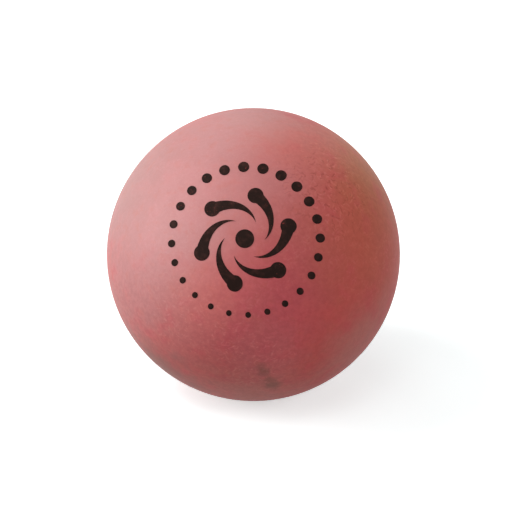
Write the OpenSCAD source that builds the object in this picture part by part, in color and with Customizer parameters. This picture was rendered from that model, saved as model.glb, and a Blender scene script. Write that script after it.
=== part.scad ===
// Hollow rubber bouncy ball: two moulded cups, the cement that joins them, the plug that it was
// inflated through and the mark printed on it.
// The origin is the centre of the ball and +Z is up, as the ball lies. The printed cup faces -Y and
// looks upwards, and the seam runs round the ball square to the printed cup's axis.

/* [Ball] */
// Outside diameter of the ball
ball_d = 63.5; // [50:0.5:90]
// Wall thickness of the two cups
wall = 3.3; // [2.5:0.1:6]
// Angle from the horizontal up to the middle of the print
rise = 34; // [0:1:60]

/* [Seam] */
// Thickness of the cement film between the two rims
film = 0.2; // [0.1:0.05:0.5]
// Depth of the film's edge below the outside of the ball
film_recess = 0.1; // [0.05:0.05:0.3]
// Width of the chamfer on the inside corner of each rim
rim_chamfer = 0.8; // [0.4:0.1:1.2]
// Height of the cement bead that was squeezed out inside the ball
bead_h = 0.5; // [0.2:0.05:0.8]

/* [Inflation plug] */
// Diameter of the soft plug that the needle went through
plug_d = 12; // [8:0.5:16]
// Thickness of the plug at its edge
plug_edge_t = 1.2; // [0.6:0.1:2.5]
// Height of the plug's crown over its edge
plug_crown = 1.1; // [0.4:0.1:2]
// Diameter of the needle hole through the wall
needle_d = 1.2; // [0.8:0.1:2]
// Diameter of the cement dab that closes the hole at the outside
dab_d = 3; // [2.4:0.1:5]
// Depth of the countersink that the dab fills
dab_depth = 0.6; // [0.3:0.1:1.2]

/* [Print] */
// Thickness of the ink
ink_t = 0.05; // [0.03:0.01:0.2]
// Turn of the print, clockwise as it is looked at
print_turn = 11; // [-45:1:45]
// Radius of the ring of dots
ring_r = 15.8; // [14:0.1:18]
// Number of dots in the ring
dot_count = 24; // [16:1:30]
// Diameter of the ring's largest dot, at the top
dot_top_d = 2.4; // [1.4:0.1:2.6]
// Diameter of the ring's smallest dot, at the bottom
dot_bottom_d = 1.2; // [0.8:0.1:2.6]
// Radius of the round spot in the middle
spot_r = 2; // [1:0.1:2.6]
// Number of balls that whirl round the spot
whirl_count = 6; // [3:1:7]
// Radius of the circle that their middles stand on
whirl_r = 9.6; // [8.5:0.1:10.5]
// Radius of each of these balls
whirl_ball_r = 1.7; // [1:0.1:2]
// Angle that each ball's tail winds back through
tail_sweep = 80; // [50:5:90]
// Radius at which the tip of the tail ends
tail_tip_r = 4.2; // [4:0.1:5]

/* [Hidden] */
$fn = 128;

rubber_pink = [0.78, 0.44, 0.45];
cement_amber = [0.72, 0.50, 0.36];
plug_brown = [0.42, 0.27, 0.20];
ink_black = [0.15, 0.12, 0.11];

// Overrun of every cutting shape past what it cuts
cut = 1;

outer_r = ball_d / 2;
inner_r = outer_r - wall;

// The chamfer runs from the rim's face at rim_z up to chamfer_z, where it meets the inside wall.
rim_z = film / 2;
chamfer_z = rim_z + rim_chamfer;
chamfer_in_r = sqrt(pow(inner_r, 2) - pow(chamfer_z, 2));
chamfer_out_r = chamfer_in_r + rim_chamfer;
bead_r = (pow(chamfer_z, 2) + pow(bead_h, 2)) / (2 * bead_h);

// The plug's inner face is a dome through its edge circle and its crown.
plug_r = plug_d / 2;
plug_edge_z = sqrt(pow(inner_r, 2) - pow(plug_r, 2)) - plug_edge_t;
plug_dome_r = (pow(plug_r, 2) + pow(plug_crown, 2)) / (2 * plug_crown);

// A tail is this share of its ball's width where it starts, and its outline has this many steps.
tail_width_share = 0.84;
tail_steps = 14;

// Lays a shape that is built round +Z along the printed cup's axis.
module to_print() {
    rotate([90 - rise, 0, 0]) children();
}

// Lays a shape that is built round +Z along the plain cup's axis, the other way.
module to_plug() {
    to_print() rotate([180, 0, 0]) children();
}

// One moulded cup round +Z, its rim's face at rim_z and its inside corner chamfered.
module cup() {
    difference() {
        intersection() {
            sphere(r = outer_r);
            translate([0, 0, rim_z]) cylinder(r = outer_r + cut, h = outer_r);
        }
        sphere(r = inner_r);
        translate([0, 0, rim_z - cut])
            cylinder(
                r1 = chamfer_out_r + cut, r2 = chamfer_in_r - cut,
                h = rim_chamfer + 2 * cut
            );
    }
}

// The needle's track through the wall, with the countersink at its outer end.
module needle_track() {
    cylinder(d = needle_d, h = outer_r + cut);
    translate([0, 0, outer_r - dab_depth])
        cylinder(d1 = needle_d, d2 = dab_d, h = dab_depth);
}

// Half of the ball that carries the print.
module front_shell() {
    color(rubber_pink) to_print() cup();
}

// Half of the ball that was inflated, with the needle's track through its pole.
module rear_shell() {
    color(rubber_pink) to_plug() difference() {
        cup();
        needle_track();
    }
}

// Section of the cement through the seam: the film between the rims, the wedge that fills their
// chamfers and the rounded bead that stands inside the ball.
module seam_section() {
    translate([chamfer_out_r, -rim_z])
        square([outer_r - film_recess - chamfer_out_r, film]);
    polygon([
        [chamfer_out_r, rim_z], [chamfer_in_r, chamfer_z],
        [chamfer_in_r, -chamfer_z], [chamfer_out_r, -rim_z]
    ]);
    intersection() {
        translate([chamfer_in_r - bead_h + bead_r, 0]) circle(r = bead_r);
        translate([chamfer_in_r - bead_h, -chamfer_z]) square([bead_h, 2 * chamfer_z]);
    }
}

// Ring of cured cement that joins the cups.
module seam_cement() {
    color(cement_amber) to_print() rotate_extrude() seam_section();
}

// Domed button of soft gum rubber, bonded to the inside wall behind the needle hole.
module inflation_plug() {
    color(plug_brown) to_plug() intersection() {
        cylinder(r = plug_r, h = outer_r);
        sphere(r = inner_r);
        translate([0, 0, plug_edge_z - plug_crown + plug_dome_r]) sphere(r = plug_dome_r);
    }
}

// Peg of cement in the needle's track, flush with the outside of the ball.
module needle_hole_seal() {
    color(cement_amber) to_plug() difference() {
        intersection() {
            needle_track();
            sphere(r = outer_r);
        }
        sphere(r = inner_r);
    }
}

// Distance from the middle of the print to the middle of a tail, at share t of the way to its tip
function tail_r(t) = whirl_r + (tail_tip_r - whirl_r) * t;
// Direction from the middle of the print to the same place
function tail_way(t) = [sin(tail_sweep * t), cos(tail_sweep * t)];
// Half of the tail's width there
function tail_half_w(t) = whirl_ball_r * tail_width_share * (1 - t);

// One whirling ball, and its tail that narrows as it winds in towards the spot.
module whirl_ball() {
    steps = [for (i = [0:tail_steps]) i / tail_steps];
    outer = [for (t = steps) (tail_r(t) + tail_half_w(t)) * tail_way(t)];
    inner = [for (t = steps) (tail_r(t) - tail_half_w(t)) * tail_way(t)];
    translate([0, whirl_r]) circle(r = whirl_ball_r);
    polygon(concat(inner, [for (i = [tail_steps - 1:-1:0]) outer[i]]));
}

// The spot in the middle and the balls that whirl round it.
module whirl() {
    circle(r = spot_r);
    for (i = [0:whirl_count - 1]) rotate(360 * i / whirl_count) whirl_ball();
}

// The ring of dots, which shrink from the top of the print to its bottom.
module dot_ring() {
    for (i = [0:dot_count - 1]) {
        a = 360 * i / dot_count;
        d = dot_bottom_d + (dot_top_d - dot_bottom_d) * (1 + cos(a)) / 2;
        rotate(a) translate([0, ring_r]) circle(d = d);
    }
}

// Stamped ink on the printed cup: each shape is a thin solid that follows the ball.
module printed_mark() {
    color(ink_black) to_print() intersection() {
        rotate(-print_turn) linear_extrude(height = outer_r + cut) {
            whirl();
            dot_ring();
        }
        difference() {
            sphere(r = outer_r + ink_t);
            sphere(r = outer_r);
        }
    }
}

front_shell();
rear_shell();
seam_cement();
inflation_plug();
needle_hole_seal();
printed_mark();
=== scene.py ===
import math

import bmesh
import bpy
from mathutils import Matrix, Vector


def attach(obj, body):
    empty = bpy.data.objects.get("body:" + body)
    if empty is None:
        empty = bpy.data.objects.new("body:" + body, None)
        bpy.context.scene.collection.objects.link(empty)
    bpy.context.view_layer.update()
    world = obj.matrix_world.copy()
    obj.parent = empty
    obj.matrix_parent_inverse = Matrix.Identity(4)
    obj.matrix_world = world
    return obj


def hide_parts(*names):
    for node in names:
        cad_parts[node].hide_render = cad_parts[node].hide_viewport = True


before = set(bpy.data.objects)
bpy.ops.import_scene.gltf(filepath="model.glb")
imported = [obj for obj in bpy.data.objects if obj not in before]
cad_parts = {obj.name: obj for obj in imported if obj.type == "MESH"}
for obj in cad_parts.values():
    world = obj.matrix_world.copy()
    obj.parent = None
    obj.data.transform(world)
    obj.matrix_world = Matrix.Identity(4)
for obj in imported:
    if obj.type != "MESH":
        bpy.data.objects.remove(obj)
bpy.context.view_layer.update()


# ---------------------------------------------------------------- printed cup
# Half of a hollow ball, pressed from pink rubber in a two-part mould, with a wall of 3.3 mm.
# After the halves were joined the whole ball was buffed, which left a dull skin full of short
# fine scuffs. Bloom has paled the side away from the camera, and play has soiled it a little.
# Its upper left side and its left and top edges are painted paler: painted highlight and sheen.
MM = 0.001
BALL_R = 31.75 * MM
WALL = 3.3 * MM
BORE_R = BALL_R - WALL

# Half the cement film stands between each rim and the seam's plane.
RIM_Z = 0.1 * MM
RIM_CHAMFER = 0.8 * MM
RIM_CORNER = 0.12 * MM
# The middle of the rounded corner lies this share of its radius in from both of its sides.
CORNER_MIDDLE_SHARE = 0.3

# Steps of the spin, and of the profile's two arcs
SPIN_STEPS = 256
SKIN_STEPS = 80
BORE_STEPS = 30
# Points closer than this are one, and edges sharper than this stay sharp.
SAME_POINT = 0.001 * MM
SHARP_EDGE = math.radians(35)

# The cups are made round +Z. One is then laid along the print's axis, and one the other way.
RISE = math.radians(34)
TO_PRINT = Matrix.Rotation(math.pi / 2 - RISE, 4, "X")
TO_PLUG = TO_PRINT @ Matrix.Rotation(math.pi, 4, "X")
PRINT_AXIS = TO_PRINT @ Vector((0, 0, 1))

SKIN_END = math.acos((RIM_Z + RIM_CORNER) / BALL_R)
BORE_START = math.acos((RIM_Z + RIM_CHAMFER) / BORE_R)


def arc(radius, start, end, steps):
    """Points on a circle about the ball's centre, by their angle from the cup's axis."""
    turns = [start + (end - start) * i / steps for i in range(steps + 1)]
    return [(radius * math.sin(a), 0, radius * math.cos(a)) for a in turns]


def cup_rim():
    """The rim from its rounded outer corner to its inside chamfer, as points of the profile."""
    outer_x = math.sqrt(BALL_R**2 - RIM_Z**2)
    inner_x = math.sqrt(BORE_R**2 - (RIM_Z + RIM_CHAMFER)**2)
    rounding = CORNER_MIDDLE_SHARE * RIM_CORNER
    return [
        (outer_x - rounding, 0, RIM_Z + rounding),
        (outer_x - RIM_CORNER, 0, RIM_Z),
        (inner_x + RIM_CHAMFER, 0, RIM_Z),
    ]


def spin_cup(name, profile, closed, place):
    """Spins a profile into a closed cup and lays it in its place on the ball."""
    bm = bmesh.new()
    points = [bm.verts.new(p) for p in profile]
    edges = [bm.edges.new(pair) for pair in zip(points, points[1:])]
    if closed:
        edges.append(bm.edges.new((points[-1], points[0])))
    bmesh.ops.spin(
        bm, geom=points + edges, cent=(0, 0, 0), axis=(0, 0, 1),
        angle=2 * math.pi, steps=SPIN_STEPS, use_merge=True, use_duplicate=False,
    )
    bmesh.ops.remove_doubles(bm, verts=bm.verts, dist=SAME_POINT)
    bmesh.ops.recalc_face_normals(bm, faces=bm.faces)
    bmesh.ops.transform(bm, matrix=place, verts=bm.verts)
    for face in bm.faces:
        face.smooth = True
    for edge in bm.edges:
        edge.smooth = edge.calc_face_angle(0) < SHARP_EDGE
    mesh = bpy.data.meshes.new(name)
    bm.to_mesh(mesh)
    bm.free()
    piece = bpy.data.objects.new(name, mesh)
    bpy.context.scene.collection.objects.link(piece)
    return piece


printed_cup = spin_cup(
    "printed_cup",
    arc(BALL_R, 0, SKIN_END, SKIN_STEPS) + cup_rim() + arc(BORE_R, BORE_START, 0, BORE_STEPS),
    False, TO_PRINT,
)


class Wire:
    """A socket's value. Python's operators on it add Math nodes, with numbers on either side."""

    def __init__(self, finish, socket):
        self.finish, self.socket = finish, socket

    def output(self, name):
        """Another output of the same node."""
        return Wire(self.finish, self.socket.node.outputs[name])

    def maths(self, operation, *values):
        return self.finish.node("ShaderNodeMath", {"operation": operation}, dict(enumerate(values)))

    def __add__(self, other):
        return self.maths("ADD", self, other)

    def __sub__(self, other):
        return self.maths("SUBTRACT", self, other)

    def __rsub__(self, other):
        return self.maths("SUBTRACT", other, self)

    def __mul__(self, other):
        return self.maths("MULTIPLY", self, other)

    def __abs__(self):
        return self.maths("ABSOLUTE", self)

    __radd__ = __add__
    __rmul__ = __mul__


class Finish:
    """The nodes of a material or a world that is being made, and what several of them share."""

    # A scuff fades from this share of its half width to its side, and from this share of its half
    # length to its end. The noise that bends scuffs is this much finer than their cells.
    SIDE_SHARE = 0.2
    END_SHARE = 0.4
    STIR_SHARE = 1.3

    def __init__(self, owner):
        self.owner = owner
        owner.use_nodes = True
        self.tree = owner.node_tree
        self.tree.nodes.clear()

    def node(self, kind, settings, inputs, output=0):
        """Adds a node with inputs that are constants or wires, and gives one of its outputs."""
        made = self.tree.nodes.new(kind)
        for key, value in settings.items():
            setattr(made, key, value)
        for key, value in inputs.items():
            if isinstance(value, Wire):
                self.tree.links.new(value.socket, made.inputs[key])
            else:
                made.inputs[key].default_value = value
        return Wire(self, made.outputs[output]) if made.outputs else None

    def place(self):
        """Where the surface is, from the ball's centre."""
        return self.node("ShaderNodeTexCoord", {}, {}, "Object")

    def clouds(self, per_metre, detail):
        """Noise from 0 to 1 with so many features to the metre."""
        return self.node(
            "ShaderNodeTexNoise", {},
            {"Vector": self.place(), "Scale": per_metre, "Detail": detail, "Roughness": 0.55},
        )

    def ease(self, value, low, high, start=0.0, end=1.0):
        """Goes smoothly from start at low to end at high, and stays there."""
        return self.node(
            "ShaderNodeMapRange", {"interpolation_type": "SMOOTHSTEP"},
            {"Value": value, "From Min": low, "From Max": high, "To Min": start, "To Max": end},
        )

    def blend(self, share, first, second, how="MIX"):
        """Colour that goes from the first to the second with the share."""
        return self.node(
            "ShaderNodeMix", {"data_type": "RGBA", "blend_type": how},
            {0: share, 6: first, 7: second}, 2,
        )

    def vector(self, operation, *values, output="Vector"):
        """Works on vectors as maths does on numbers."""
        return self.node(
            "ShaderNodeVectorMath", {"operation": operation}, dict(enumerate(values)), output
        )

    def near(self, place, low, high, ragged=0.0):
        """1 within low of a place, 0 beyond high, and smooth between them."""
        away = self.vector("DISTANCE", self.place(), place, output="Value") + ragged
        return self.ease(away, low, high, 1.0, 0.0)

    def spot(self, place, full, end, share, ragged=0.0):
        """A share on a spot of the ball, none outside it. full and end are in the ball's radii."""
        return self.near(place, full * BALL_R, end * BALL_R, ragged) * share

    def scuffs(self, per_metre, length, width, bend):
        """Short bent scuffs in the skin of the ball, one to a cell, each its own way round."""
        stir = self.node(
            "ShaderNodeTexNoise", {},
            {"Vector": self.place(), "Scale": per_metre * self.STIR_SHARE}, "Color",
        )
        here = self.vector("MULTIPLY_ADD", stir, (bend, bend, bend), self.place())
        cell = self.node(
            "ShaderNodeTexVoronoi", {}, {"Vector": here, "Scale": per_metre}, "Position"
        )
        off = self.vector("SUBTRACT", here, cell)
        way = self.vector("MULTIPLY_ADD", cell.output("Color"), (2, 2, 2), (-1, -1, -1))
        out = self.vector("NORMALIZE", here)
        across = self.vector("NORMALIZE", self.vector("CROSS_PRODUCT", out, way))
        along = self.vector("CROSS_PRODUCT", across, out)
        aside = abs(self.vector("DOT_PRODUCT", off, across, output="Value"))
        ahead = abs(self.vector("DOT_PRODUCT", off, along, output="Value"))
        return (
            self.ease(aside, self.SIDE_SHARE * width, width, 1.0, 0.0)
            * self.ease(ahead, self.END_SHARE * length, length, 1.0, 0.0)
        )

    def bump(self, height, depth):
        """Normals of a relief so deep."""
        return self.node(
            "ShaderNodeBump", {}, {"Strength": 0.5, "Distance": depth, "Height": height}
        )

    def surface(self, constants, **varied):
        """Closes the material with a Principled shader."""
        inputs = {**constants, **{k.replace("_", " "): v for k, v in varied.items()}}
        shader = self.node("ShaderNodeBsdfPrincipled", {}, inputs)
        self.node("ShaderNodeOutputMaterial", {}, {"Surface": shader})
        return self.owner


# Directions of the photograph's view: a place that is read from it turns into one on the ball.
VIEW_TURN = math.radians(4)
VIEW_RISE = math.radians(28)
VIEW_BACK = Vector((
    math.sin(VIEW_TURN) * math.cos(VIEW_RISE),
    -math.cos(VIEW_TURN) * math.cos(VIEW_RISE),
    math.sin(VIEW_RISE),
))
VIEW_RIGHT = Vector((math.cos(VIEW_TURN), math.sin(VIEW_TURN), 0))
VIEW_UP = VIEW_BACK.cross(VIEW_RIGHT)


def seen_at(right, up):
    """Place on the ball seen so far right of and above its middle, as shares of its radius."""
    near = math.sqrt(1 - right**2 - up**2)
    return (VIEW_RIGHT * right + VIEW_UP * up + VIEW_BACK * near) * BALL_R


RUBBER = (0.560, 0.077, 0.069, 1)
# Pale pink of bloom and of dust, also used as painted highlight and sheen of the left lamps
RUBBER_BLOOM_AND_PAINTED_HAZE = (0.516, 0.228, 0.224, 1)
# Painted highlight of the left lamps along the upper left edge
RUBBER_PAINTED_EDGE_HIGHLIGHT = (0.440, 0.255, 0.242, 1)
RUBBER_DULL = (0.455, 0.172, 0.160, 1)
RUBBER_CRIMSON = (0.585, 0.067, 0.104, 1)
RUBBER_YELLOWISH = (0.560, 0.113, 0.066, 1)
RUBBER_OLIVE = (0.475, 0.148, 0.044, 1)
RUBBER_FRESH = (0.495, 0.072, 0.066, 1)
RUBBER_DEEP = (0.400, 0.062, 0.062, 1)
RUBBER_HAZY = (0.610, 0.135, 0.138, 1)
RUBBER_PALE = (0.640, 0.172, 0.142, 1)
# Painted sheen at the top edge, in place of the lamps behind the ball
RUBBER_PAINTED_TOP_SHEEN = (0.560, 0.310, 0.300, 1)
DUST = (0.560, 0.168, 0.142, 1)
DIRT = (0.220, 0.080, 0.062, 1)
GRIME = (0.118, 0.045, 0.018, 1)
# What the colour below is multiplied by: in hollows and creases, and on scuffs and grain
SHADE = (0.760, 0.660, 0.660, 1)
SCUFF = (1.250, 1.800, 1.800, 1)

# The skin's colour varies, and in places the lamps' light is painted into it: place, where the
# change is full, where it ends (both in the ball's radii), its strength, colour.
CHANGES = [
    # Painted highlight: the upper left side, which faces the lamps, is painted paler
    (seen_at(-0.6, 0.4), 0.3, 1.5, 1.0, RUBBER_BLOOM_AND_PAINTED_HAZE),
    (-VIEW_BACK * BALL_R, 0.2, 1.2, 0.6, RUBBER_BLOOM_AND_PAINTED_HAZE),
    # Painted highlight along the upper left edge
    (seen_at(-0.85, 0.50), 0.1, 0.70, 0.68, RUBBER_PAINTED_EDGE_HIGHLIGHT),
    (seen_at(-0.88, -0.47), 0.1, 0.50, 0.6, RUBBER_DULL),
    # Painted sheen of the left lamps along the left edge
    (seen_at(-0.86, -0.24), 0.05, 0.45, 0.35, RUBBER_BLOOM_AND_PAINTED_HAZE),
    (seen_at(0.22, -0.02), 0.05, 0.55, 0.65, RUBBER_FRESH),
    (seen_at(-0.15, 0.38), 0.05, 0.50, 0.18, RUBBER_FRESH),
    (seen_at(0.50, 0.03), 0.05, 0.52, 0.35, RUBBER_DEEP),
    (seen_at(0.0, -0.40), 0.1, 0.62, 0.55, RUBBER_CRIMSON),
    # Yellower towards the right edge, and olive at its upper part
    (seen_at(0.82, 0.20), 0.1, 0.80, 0.8, RUBBER_YELLOWISH),
    (seen_at(0.74, 0.62), 0.05, 0.62, 0.75, RUBBER_OLIVE),
    (seen_at(0.28, 0.82), 0.05, 0.55, 0.75, RUBBER_PALE),
    # Painted sheen along the top edge
    (seen_at(-0.06, 0.94), 0.05, 0.60, 0.6, RUBBER_PAINTED_TOP_SHEEN),
    (seen_at(-0.25, -0.32), 0.05, 0.50, 0.42, RUBBER_PALE),
    (seen_at(-0.02, -0.95), 0.05, 0.60, 0.85, DUST),
    (seen_at(0.72, -0.60), 0.05, 0.50, 0.80, DUST),
    (seen_at(0.08, -0.68), 0.05, 0.42, 0.6, RUBBER_HAZY),
    (seen_at(-0.60, -0.795), 0.08, 0.50, 0.90, DIRT),
]
# Scuffs lie thickest where the ball was bounced and rubbed: place, where they are full, where
# they thin out, strength.
SCUFFED = [
    (seen_at(0.50, 0.48), 0.1, 0.55, 1.0),
    (seen_at(-0.45, -0.42), 0.1, 0.50, 0.6),
    (seen_at(0.0, -0.70), 0.1, 0.48, 0.8),
]
# Two sides of the skin are smoother, the first because it was hardly played on and the second
# because it is worn: place, where the change is full, where it ends, its strength.
SMOOTH_SIDE = (seen_at(-0.40, 0.60), 0.5, 1.2, 0.75)
WORN_SIDE = (seen_at(0.80, -0.25), 0.25, 0.85, 0.40)
# Kinds of scuffs: cells to the metre, half length, half width, how far the noise bends them.
LONG_SCUFFS = (500, 0.90 * MM, 0.27 * MM, 1.6 * MM)
SHORT_SCUFFS = (850, 0.55 * MM, 0.20 * MM, 0.9 * MM)
# Fine dark creases, made as the scuffs are, and the one place that has them
CREASES = (600, 0.90 * MM, 0.26 * MM, 2.0 * MM)
CREASED = (seen_at(0.52, 0.42), 0.1, 0.55, 1.0)
# How far the edges of the changes above wander
CHANGE_RAGGED = 10 * MM
# Pale dust along the seam: how far from it the dust is full, where it ends, its share, and how
# far its edge wanders.
SEAM_DUST_FULL = 0.4 * MM
SEAM_DUST_END = 2.4 * MM
SEAM_DUST_SHARE = 0.35
SEAM_DUST_RAGGED = 3 * MM
# Two smudges of dirt low on the printed side, of two spots each: place, reach, strength.
SMUDGES = [
    (seen_at(0.055, -0.760), 2.0 * MM, 0.40),
    (seen_at(0.075, -0.800), 1.8 * MM, 0.40),
    (seen_at(0.110, -0.850), 2.1 * MM, 0.48),
    (seen_at(0.130, -0.885), 2.4 * MM, 0.60),
]
# A smudge is full within the first share of its reach and ends at the second.
SMUDGE_FULL_SHARE = 0.2
SMUDGE_END_SHARE = 1.2
SMUDGE_RAGGED = 2.6 * MM
# Depth of the relief that the mottle, the grain and the scuffs make
SKIN_RELIEF = 0.02 * MM

finish = Finish(bpy.data.materials.new("pink_rubber_skin"))
broad = finish.clouds(50, 2)
patches = finish.clouds(210, 3)
blotches = finish.clouds(480, 3)
mottle = finish.clouds(1000, 2)
grain = finish.clouds(2600, 2)
rubbed = finish.ease(broad, 0.50, 0.66, 0.10, 0.7)
for scuffed in SCUFFED:
    rubbed = rubbed + finish.spot(*scuffed)
rough = 1 - finish.spot(*SMOOTH_SIDE) - finish.spot(*WORN_SIDE)
scuffs = (
    finish.scuffs(*LONG_SCUFFS) * finish.ease(patches, 0.38, 0.56)
    + finish.scuffs(*SHORT_SCUFFS) * finish.ease(blotches, 0.40, 0.58)
) * (rubbed * rough)
creases = (
    finish.scuffs(*CREASES) * finish.spot(*CREASED) * finish.ease(blotches, 0.38, 0.52)
)

colour = RUBBER
ragged = (patches - 0.5) * CHANGE_RAGGED
for *spot, changed in CHANGES:
    colour = finish.blend(finish.spot(*spot, ragged), colour, changed)
from_seam = abs(finish.vector("DOT_PRODUCT", finish.place(), PRINT_AXIS, output="Value"))
seam_dust = finish.ease(
    from_seam + (blotches - 0.5) * SEAM_DUST_RAGGED,
    SEAM_DUST_FULL, SEAM_DUST_END, SEAM_DUST_SHARE, 0.0,
)
# What lies over these changes, from below to above: its share, its colour, how it is laid on.
layers = [
    (seam_dust, RUBBER_BLOOM_AND_PAINTED_HAZE, "MIX"),
    (finish.ease(patches, 0.50, 0.72, 0.0, 0.22) * rough, RUBBER_CRIMSON, "MIX"),
    (finish.ease(blotches, 0.50, 0.72, 0.0, 0.15), RUBBER_YELLOWISH, "MIX"),
    (finish.ease(patches, 0.36, 0.62, 0.16, 0.0), SHADE, "MULTIPLY"),
    (finish.ease(blotches, 0.32, 0.58, 0.15, 0.0) * rough, SHADE, "MULTIPLY"),
    (finish.ease(mottle, 0.34, 0.64, 0.38, 0.0) * rough, SHADE, "MULTIPLY"),
    (creases * 0.95, SHADE, "MULTIPLY"),
    (finish.ease(grain, 0.45, 0.75, 0.0, 0.10), SCUFF, "MULTIPLY"),
    (scuffs * 0.42, SCUFF, "MULTIPLY"),
]
ragged = (finish.clouds(650, 3) - 0.45) * SMUDGE_RAGGED
for place, reach, share in SMUDGES:
    smudge = finish.near(place, SMUDGE_FULL_SHARE * reach, SMUDGE_END_SHARE * reach, ragged)
    layers.append((smudge * share, GRIME, "MIX"))
for share, tint, how in layers:
    colour = finish.blend(share, colour, tint, how)

relief = (mottle * 0.6 + grain * 0.2) * rough + scuffs * 0.6 - creases * 0.6
skin = finish.surface(
    {"Specular IOR Level": 0.35},
    Base_Color=colour,
    Roughness=0.57 + 0.08 * patches - 0.05 * scuffs,
    Normal=finish.bump(relief, SKIN_RELIEF),
)
printed_cup.data.materials.append(skin)
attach(printed_cup, "root")
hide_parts("front_shell")


# ------------------------------------------------------------------ plain cup
# The other half, pressed in the same mould. The needle that blew the ball up went through its
# pole, where a small countersink was cut for the dab of cement that closes the hole.
NEEDLE_R = 0.6 * MM
DAB_R = 1.5 * MM
DAB_DEPTH = 0.6 * MM
# The countersink's cone meets the round skin at about this share of the dab's radius.
DAB_EDGE_SHARE = 0.975
DAB_EDGE = math.asin(DAB_EDGE_SHARE * DAB_R / BALL_R)
plain_cup = spin_cup(
    "plain_cup",
    [(NEEDLE_R, 0, BALL_R - DAB_DEPTH)] + arc(BALL_R, DAB_EDGE, SKIN_END, SKIN_STEPS)
    + cup_rim() + arc(BORE_R, BORE_START, math.asin(NEEDLE_R / BORE_R), BORE_STEPS),
    True, TO_PLUG,
)
plain_cup.data.materials.append(skin)
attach(plain_cup, "root")
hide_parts("rear_shell")


# --------------------------------------------------------------- seam cement
# Rubber cement that was painted on both rims and cured under pressure. Only its edge shows, as
# a hairline round the ball, a little darker than the skin and filled with dust.
CEMENT = (0.30, 0.095, 0.06, 1)
CEMENT_DIRTY = (0.20, 0.055, 0.035, 1)
CEMENT_RELIEF = 0.05 * MM
finish = Finish(bpy.data.materials.new("cured_cement"))
lumps = finish.clouds(900, 3)
dust = finish.clouds(260, 2)
colour = finish.blend(finish.ease(lumps, 0.3, 0.7), CEMENT, CEMENT_DIRTY)
cement = finish.surface(
    {},
    Base_Color=finish.blend(finish.ease(dust, 0.45, 0.7) * 0.35, colour, RUBBER_BLOOM_AND_PAINTED_HAZE),
    Roughness=0.5 + 0.25 * dust,
    Normal=finish.bump(lumps, CEMENT_RELIEF),
)


def refinish(node, material):
    """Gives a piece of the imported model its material."""
    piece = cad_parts[node]
    piece.data.materials.clear()
    piece.data.materials.append(material)


refinish("seam_cement", cement)


# ------------------------------------------------------------ inflation plug
# Button of soft gum rubber that was vulcanised to the inside wall, and closed over the needle.
GUM = (0.16, 0.07, 0.04, 1)
GUM_DARK = (0.09, 0.04, 0.025, 1)
GUM_RELIEF = 0.06 * MM
finish = Finish(bpy.data.materials.new("gum_rubber"))
mottle = finish.clouds(420, 4)
tack = finish.clouds(1800, 2)
gum = finish.surface(
    {},
    Base_Color=finish.blend(finish.ease(mottle, 0.35, 0.7), GUM, GUM_DARK),
    Roughness=0.45 + 0.3 * mottle,
    Normal=finish.bump(mottle + tack * 0.3, GUM_RELIEF),
)
refinish("inflation_plug", gum)


# --------------------------------------------------------- needle hole seal
# Dab of the same cement as the seam's, scraped flush with the skin once it had set.
refinish("needle_hole_seal", cement)


# -------------------------------------------------------------- printed mark
# Black ink stamped with a rubber pad on the buffed skin. It is thin and flat, with pinholes and
# rubbed places where the pink shows through, and it is a little browner where it is thin.
INK = (0.0180, 0.0088, 0.0070, 1)
INK_THIN = (0.0480, 0.0190, 0.0160, 1)
INK_RELIEF = 0.02 * MM
finish = Finish(bpy.data.materials.new("stamping_ink"))
cover = finish.clouds(700, 3)
pinholes = finish.clouds(2600, 1)
rubbed = finish.clouds(150, 3)
colour = finish.blend(finish.ease(cover, 0.4, 0.8), INK, INK_THIN)
bare = finish.ease(pinholes, 0.66, 0.78) * finish.ease(rubbed, 0.48, 0.62) * 0.5
ink = finish.surface(
    {"Specular IOR Level": 0.05},
    Base_Color=finish.blend(bare, colour, RUBBER),
    Roughness=0.55 + 0.15 * cover,
    Normal=finish.bump(cover + pinholes * 0.5, INK_RELIEF),
)
refinish("printed_mark", ink)


# -------------------------------------------------------------------- studio
# A plain white table in a pale room, with soft round lamps all round the ball. Most of their
# light comes from its left. The table's and the room's white is their own, and the table keeps
# the ball's shadow.
TABLE_HALF = 4
TABLE_PLAIN = (0.33, 0.33, 0.33, 1)
TABLE_WHITE = (0.87, 0.95, 0.95, 1)
TABLE_GLOW = (0.99, 1, 1, 1)
TABLE_GLOW_STRENGTH = 0.55
WHITE = (1, 1, 1, 1)
ROOM_DIM = 0.03
ROOM_BRIGHT = 1.0
bm = bmesh.new()
bmesh.ops.create_grid(bm, x_segments=1, y_segments=1, size=TABLE_HALF)
bmesh.ops.translate(bm, verts=bm.verts, vec=(0, 0, -BALL_R))
table_mesh = bpy.data.meshes.new("table")
bm.to_mesh(table_mesh)
bm.free()
table = bpy.data.objects.new("table", table_mesh)
bpy.context.scene.collection.objects.link(table)


def looked_at(finish, plain, seen):
    """Shows the second shader to the eye, also in metal and glass, and lights by the first."""
    paths = finish.node("ShaderNodeLightPath", {}, {}, "Is Camera Ray")
    looks = paths + paths.output("Is Glossy Ray") + paths.output("Is Transmission Ray")
    return finish.node("ShaderNodeMixShader", {}, {0: looks, 1: plain, 2: seen})


finish = Finish(bpy.data.materials.new("white_table"))
plain = finish.node("ShaderNodeBsdfDiffuse", {}, {"Color": TABLE_PLAIN})
white = finish.node("ShaderNodeBsdfDiffuse", {}, {"Color": TABLE_WHITE})
glow = finish.node(
    "ShaderNodeEmission", {}, {"Color": TABLE_GLOW, "Strength": TABLE_GLOW_STRENGTH}
)
seen = finish.node("ShaderNodeAddShader", {}, {0: white, 1: glow})
finish.node("ShaderNodeOutputMaterial", {}, {"Surface": looked_at(finish, plain, seen)})
table.data.materials.append(finish.owner)

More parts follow.
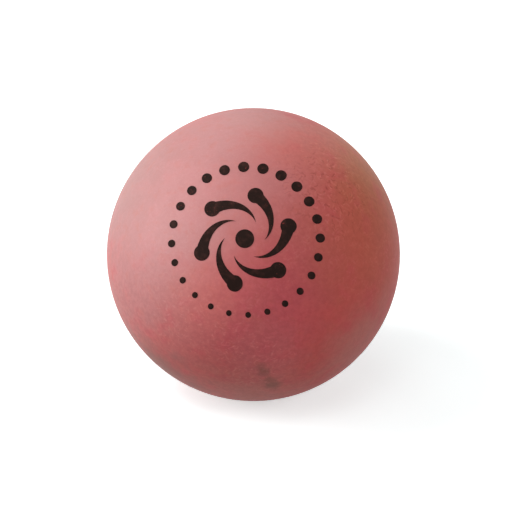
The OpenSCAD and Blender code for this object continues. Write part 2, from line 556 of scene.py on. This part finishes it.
room = bpy.data.worlds.new("pale_room")
bpy.context.scene.world = room
finish = Finish(room)
dim = finish.node("ShaderNodeBackground", {}, {"Color": WHITE, "Strength": ROOM_DIM})
bright = finish.node("ShaderNodeBackground", {}, {"Color": WHITE, "Strength": ROOM_BRIGHT})
finish.node("ShaderNodeOutputWorld", {}, {"Surface": looked_at(finish, dim, bright)})

LAMP_DISTANCE = 1.2
LAMP_R = 0.26
# Name, degrees to the right of the camera, degrees above the table, watts
LAMPS = [
    ("low_left_lamp", -90, 12, 7.63),
    ("left_lamp", -90, 32, 3.46),
    ("high_left_lamp", -90, 55, 4.80),
    ("high_front_left_lamp", -30, 55, 1.37),
    ("high_front_lamp", 0, 55, 1.94),
    ("front_right_lamp", 30, 32, 3.44),
    ("right_lamp", 60, 32, 0.95),
    ("high_back_left_lamp", -150, 55, 0.95),
    ("back_lamp", 180, 32, 1.03),
    ("back_right_lamp", 150, 12, 1.54),
]
for name, turn, rise, watts in LAMPS:
    data = bpy.data.lights.new(name, "AREA")
    data.shape = "DISK"
    data.size = 2 * LAMP_R
    data.energy = watts
    lamp = bpy.data.objects.new(name, data)
    bpy.context.scene.collection.objects.link(lamp)
    azimuth = VIEW_TURN + math.radians(turn)
    up = math.radians(rise)
    way = Vector((
        math.sin(azimuth) * math.cos(up), -math.cos(azimuth) * math.cos(up), math.sin(up)
    ))
    lamp.location = way * LAMP_DISTANCE
    lamp.rotation_mode = "QUATERNION"
    lamp.rotation_quaternion = way.to_track_quat("Z", "Y")
    lamp.visible_camera = False

bpy.context.scene.view_settings.view_transform = "Standard"


# -------------------------------------------------------------------- camera
# Long lens, 28 degrees above the table. The ball's outline is 146.6 px in radius in the
# 505 px frame, with its middle 0.9 px right of the frame's and 2 px below it.
FRAME_PX = 505
OUTLINE_R_PX = 146.64
OUTLINE_RIGHT_PX = 0.92
OUTLINE_BELOW_PX = 2.01
CAMERA_DISTANCE = 1.3
SENSOR = 36
camera_data = bpy.data.cameras.new("camera")
camera = bpy.data.objects.new("camera", camera_data)
bpy.context.scene.collection.objects.link(camera)
camera.location = VIEW_BACK * CAMERA_DISTANCE
camera.rotation_mode = "QUATERNION"
camera.rotation_quaternion = VIEW_BACK.to_track_quat("Z", "Y")
outline_slope = math.tan(math.asin(BALL_R / CAMERA_DISTANCE))
camera_data.sensor_width = SENSOR
camera_data.lens = OUTLINE_R_PX / outline_slope / FRAME_PX * SENSOR
camera_data.shift_x = -OUTLINE_RIGHT_PX / FRAME_PX
camera_data.shift_y = OUTLINE_BELOW_PX / FRAME_PX
camera_data.clip_end = 20
bpy.context.scene.camera = camera
